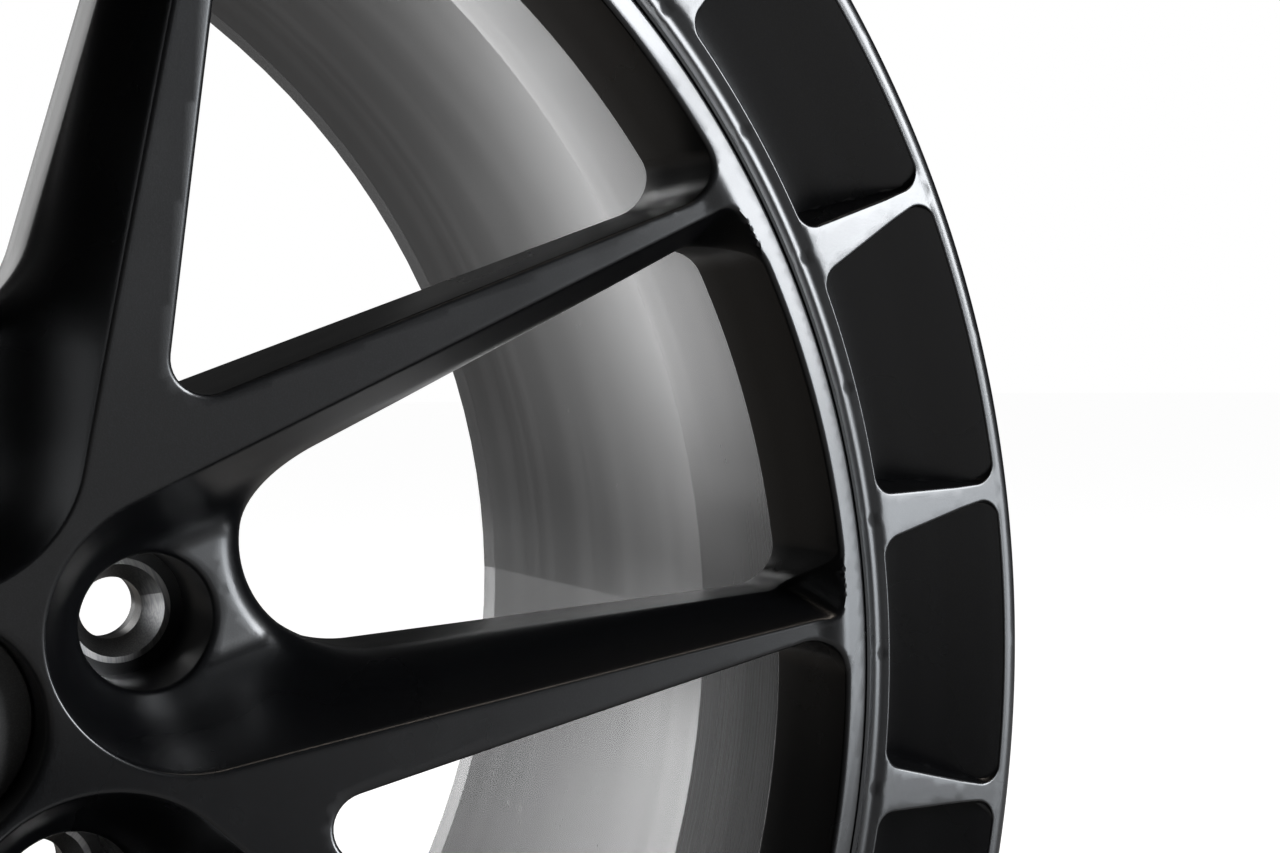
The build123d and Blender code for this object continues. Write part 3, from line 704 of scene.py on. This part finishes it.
def handling_marks_group():
    """Faint smudges and sparse fine scratches left by handling."""
    outputs = [("Smudge", "NodeSocketFloat"), ("Scratch", "NodeSocketFloat")]
    group, given, result = shader_group("handling_marks", [("Amount", "NodeSocketFloat", 1.0)], outputs)
    place = object_place(group)
    stretched = group.nodes.new("ShaderNodeMapping")
    stretched.inputs["Scale"].default_value = (40.0, 900.0, 260.0)
    stretched.inputs["Rotation"].default_value = (0.4, 0.2, 0.7)
    group.links.new(place, stretched.inputs["Vector"])
    smudge = remap(group, noise(group, place, 22.0, 4.0, 0.6), 0.48, 0.75, 0, 1)
    scratch = remap(group, noise(group, stretched.outputs[0], 1.0, 1.0), 0.7, 0.78, 0, 1)
    for mark, label in ((smudge, "Smudge"), (scratch, "Scratch")):
        amount = arithmetic(group, "MULTIPLY", mark, given.outputs["Amount"])
        group.links.new(amount, result.inputs[label])
    return group


GRAIN, LATHE_LINES, MARKS = fine_grain_group(), lathe_lines_group(), handling_marks_group()


def blended(tree, amount, colour_a, colour_b):
    node = tree.nodes.new("ShaderNodeMix")
    node.data_type = "RGBA"
    tree.links.new(amount, node.inputs["Factor"])
    for socket, colour in zip([s for s in node.inputs if s.type == "RGBA"], (colour_a, colour_b)):
        if isinstance(colour, tuple):
            socket.default_value = (*colour, 1.0)
        else:
            tree.links.new(colour, socket)
    return next(s for s in node.outputs if s.type == "RGBA")


def bumped(tree, height, distance, strength=1.0):
    node = tree.nodes.new("ShaderNodeBump")
    node.inputs["Strength"].default_value = strength
    node.inputs["Distance"].default_value = distance
    tree.links.new(height, node.inputs["Height"])
    return node.outputs["Normal"]


def started(name):
    material = bpy.data.materials.new(name)
    material.use_nodes = True
    tree = material.node_tree
    return material, tree, next(node for node in tree.nodes if node.type == "BSDF_PRINCIPLED")


def used(tree, group):
    node = tree.nodes.new("ShaderNodeGroup")
    node.node_tree = group
    return node


def coated(name, base, lighter, metallic, roughness, grain_depth, coat=0.0):
    """A satin coat over a blasted surface."""
    material, tree, surface = started(name)
    grain, marks = used(tree, GRAIN), used(tree, MARKS)
    colour = blended(tree, grain.outputs["Speckle"], base, lighter)
    tree.links.new(colour, surface.inputs["Base Color"])
    surface.inputs["Metallic"].default_value = metallic
    surface.inputs["Coat Weight"].default_value = coat
    surface.inputs["Coat Roughness"].default_value = 0.22
    level = remap(tree, grain.outputs["Cloud"], 0, 1, roughness - 0.03, roughness + 0.03)
    worn = arithmetic(tree, "ADD", level, arithmetic(tree, "MULTIPLY", marks.outputs["Smudge"], 0.06))
    tree.links.new(worn, surface.inputs["Roughness"])
    tree.links.new(bumped(tree, grain.outputs["Height"], grain_depth), surface.inputs["Normal"])
    return material


def turned(name, base, lighter, metallic, roughness, spacing, depth):
    """Metal left with the lines of the lathe tool."""
    material, tree, surface = started(name)
    lines, marks, grain = used(tree, LATHE_LINES), used(tree, MARKS), used(tree, GRAIN)
    lines.inputs["Spacing"].default_value = spacing
    tree.links.new(blended(tree, lines.outputs["Lines"], base, lighter), surface.inputs["Base Color"])
    surface.inputs["Metallic"].default_value = metallic
    level = remap(tree, lines.outputs["Bands"], 0, 1, roughness - 0.01, roughness + 0.01)
    clouded = arithmetic(tree, "ADD", level, arithmetic(tree, "MULTIPLY", grain.outputs["Cloud"], 0.03))
    worn = arithmetic(tree, "ADD", clouded, arithmetic(tree, "MULTIPLY", marks.outputs["Scratch"], 0.015))
    tree.links.new(worn, surface.inputs["Roughness"])
    tree.links.new(bumped(tree, lines.outputs["Height"], depth), surface.inputs["Normal"])
    return material


def rubber(name):
    material, tree, surface = started(name)
    grain, marks = used(tree, GRAIN), used(tree, MARKS)
    tree.links.new(blended(tree, marks.outputs["Smudge"], (0.012, 0.012, 0.013), (0.035, 0.034, 0.033)),
                   surface.inputs["Base Color"])
    tree.links.new(remap(tree, grain.outputs["Cloud"], 0, 1, 0.55, 0.7), surface.inputs["Roughness"])
    tree.links.new(bumped(tree, grain.outputs["Height"], 0.00006), surface.inputs["Normal"])
    return material


FINISHES = {
    "satin_black": coated("satin_black_coat", base=(0.0008, 0.0008, 0.001), lighter=(0.004, 0.0043, 0.0052),
                          metallic=0.0, roughness=0.27, grain_depth=0.000022, coat=0.3),
    "cap_charcoal": coated("charcoal_cap_coat", base=(0.03, 0.029, 0.028), lighter=(0.045, 0.044, 0.042),
                           metallic=0.2, roughness=0.42, grain_depth=0.00001),
    "turned_barrel": turned("turned_barrel_coat", base=(0.02, 0.021, 0.023), lighter=(0.027, 0.028, 0.03),
                            metallic=0.2, roughness=0.23, spacing=0.0007, depth=0.0000012),
    "bolt_steel": turned("bolt_steel", base=(0.2, 0.2, 0.21), lighter=(0.33, 0.33, 0.34),
                         metallic=1.0, roughness=0.34, spacing=0.0003, depth=0.000003),
    "seat_steel": turned("seat_steel", base=(0.3, 0.3, 0.3), lighter=(0.42, 0.41, 0.4),
                         metallic=1.0, roughness=0.3, spacing=0.0004, depth=0.000003),
    "machined_alloy": turned("machined_alloy", base=(0.55, 0.56, 0.57), lighter=(0.68, 0.69, 0.7),
                             metallic=1.0, roughness=0.26, spacing=0.0004, depth=0.000003),
    "valve_brass": turned("valve_brass", base=(0.6, 0.42, 0.16), lighter=(0.72, 0.53, 0.24),
                          metallic=1.0, roughness=0.25, spacing=0.0003, depth=0.000003),
    "seal_rubber": rubber("seal_rubber"),
}


# ---- camera -------------------------------------------------------------------------------------
EYE = (-0.0628, -0.4519, 0.0720)
LOOKING = (0.5645, 0.8245, -0.0391)
UPRIGHT = (0.0310, 0.0262, 0.9992)
SENSOR_WIDTH, LENS = 36.0, 46.35
SHIFT_X, SHIFT_Y = -0.0228, 0.0161
NEAREST = 0.01


def look_from_hub():
    """A close view from just in front of the hub towards the right of the rim."""
    camera_data = bpy.data.cameras.new("camera")
    camera_data.sensor_width = SENSOR_WIDTH
    camera_data.lens = LENS
    camera_data.shift_x = SHIFT_X
    camera_data.shift_y = SHIFT_Y
    camera_data.clip_start = NEAREST
    camera = bpy.data.objects.new("camera", camera_data)
    forward = Vector(LOOKING).normalized()
    right = forward.cross(Vector(UPRIGHT)).normalized()
    up = right.cross(forward)
    turn = Matrix((right, up, -forward)).transposed().to_4x4()
    camera.matrix_world = Matrix.Translation(EYE) @ turn
    bpy.context.scene.collection.objects.link(camera)
    bpy.context.scene.camera = camera


# ---- studio -------------------------------------------------------------------------------------
FLOOR_Z = CAD_BOX[0][2]
FLOOR_SIZE = 30.0
FLOOR_GLOW = 0.97
WORLD_FILL = 0.03
WARM, COOL, COLD, PLAIN = (1.0, 0.88, 0.76), (0.93, 0.96, 1.0), (0.88, 0.94, 1.0), (1, 1, 1)
# name: (place, aimed at, width, height, watts, colour)
LIGHTS = {
    "overhead": ((0.1, 0.0, 2.2), (0, 0, 0), 1.2, 1.2, 18, WARM),
    "front_bank": ((1.32, -1.85, 0.62), (0.2, 0, 0.1), 0.8, 1.2, 72, COOL),
    "front_bank_low": ((0.9, -1.15, -0.12), (0.25, 0, 0), 0.5, 0.26, 3.4, COLD),
    "rear_wall": ((-0.35, 2.6, 0.3), (0, 0, 0), 0.7, 1.6, 4, PLAIN),
}
BARREL_LIGHTS = {
    "rear_strip": ((-1.12, 2.4, 0.3), (0, 0, 0), 0.18, 1.8, 24, PLAIN),
    "rear_low": ((-0.02, 0.66, -0.2), (0.15, 0, 0.15), 0.34, 0.09, 1.0, PLAIN),
}


def soft_light(name, place, target, width, height, watts, colour):
    data = bpy.data.lights.new(name, "AREA")
    data.shape = "RECTANGLE"
    data.size = width
    data.size_y = height
    data.energy = watts
    data.color = colour
    light = bpy.data.objects.new(name, data)
    light.location = place
    light.rotation_euler = (Vector(target) - Vector(place)).to_track_quat("-Z", "Y").to_euler()
    bpy.context.scene.collection.objects.link(light)
    return light


def seen_level(tree, unseen, seen):
    """One level for what the camera sees directly and another for everything else."""
    rays = tree.nodes.new("ShaderNodeLightPath")
    level = tree.nodes.new("ShaderNodeMapRange")
    level.inputs["To Min"].default_value = unseen
    level.inputs["To Max"].default_value = seen
    tree.links.new(rays.outputs["Is Camera Ray"], level.inputs["Value"])
    return level.outputs["Result"]


def studio():
    """A white floor and backdrop, four soft lights, and two that light the barrel alone."""
    scene = bpy.context.scene
    scene.view_settings.view_transform = "Standard"
    world = bpy.data.worlds.new("studio")
    world.use_nodes = True
    scene.world = world
    tree = world.node_tree
    tree.links.new(seen_level(tree, WORLD_FILL, 1.0), tree.nodes["Background"].inputs["Strength"])
    tree.nodes["Background"].inputs["Color"].default_value = (1, 1, 1, 1)

    mesh = bpy.data.meshes.new("floor")
    reach = FLOOR_SIZE
    corners = [(-reach, -reach, FLOOR_Z), (reach, -reach, FLOOR_Z), (reach, reach, FLOOR_Z),
               (-reach, reach, FLOOR_Z)]
    mesh.from_pydata(corners, [], [(0, 1, 2, 3)])
    floor = bpy.data.objects.new("floor", mesh)
    scene.collection.objects.link(floor)
    paint, tree, surface = started("pale_floor")
    surface.inputs["Base Color"].default_value = (0.32, 0.32, 0.32, 1)
    surface.inputs["Roughness"].default_value = 0.9
    surface.inputs["Emission Color"].default_value = (1, 1, 1, 1)
    tree.links.new(seen_level(tree, 0.0, FLOOR_GLOW), surface.inputs["Emission Strength"])
    mesh.materials.append(paint)

    for name, settings in LIGHTS.items():
        soft_light(name, *settings)
    barrel_only = bpy.data.collections.new("lit_by_the_rear_strips")
    barrel_only.objects.link(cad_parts["inner_barrel"])
    for name, settings in BARREL_LIGHTS.items():
        soft_light(name, *settings).light_linking.receiver_collection = barrel_only


# ---- assembly -----------------------------------------------------------------------------------
def finish_with(piece, material):
    piece.data.materials.clear()
    piece.data.materials.append(material)


for node_name, make in (("centre_disc", centre_disc), ("outer_lip", outer_lip)):
    piece = make()
    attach(piece, "wheel")
    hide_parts(node_name)
    finish_with(piece, FINISHES["satin_black"])

KEPT_NODES = {
    "turned_barrel": ["inner_barrel"],
    "bolt_steel": ["assembly_bolts", "assembly_washers", "thread_inserts", "cap_spring_ring",
                   "valve_core_spring"],
    "seat_steel": ["lug_seat_inserts"],
    "seal_rubber": ["barrel_seal_ring", "cap_seal_ring", "valve_grommet", "valve_core_seal",
                    "valve_cap_seal"],
    "machined_alloy": ["hub_centring_ring", "valve_stem", "valve_washer", "valve_nut"],
    "cap_charcoal": ["centre_cap", "valve_cap"],
    "valve_brass": ["valve_core_body", "valve_core_pin"],
}
for finish_name, node_names in KEPT_NODES.items():
    for node_name in node_names:
        finish_with(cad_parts[node_name], FINISHES[finish_name])

look_from_hub()
studio()
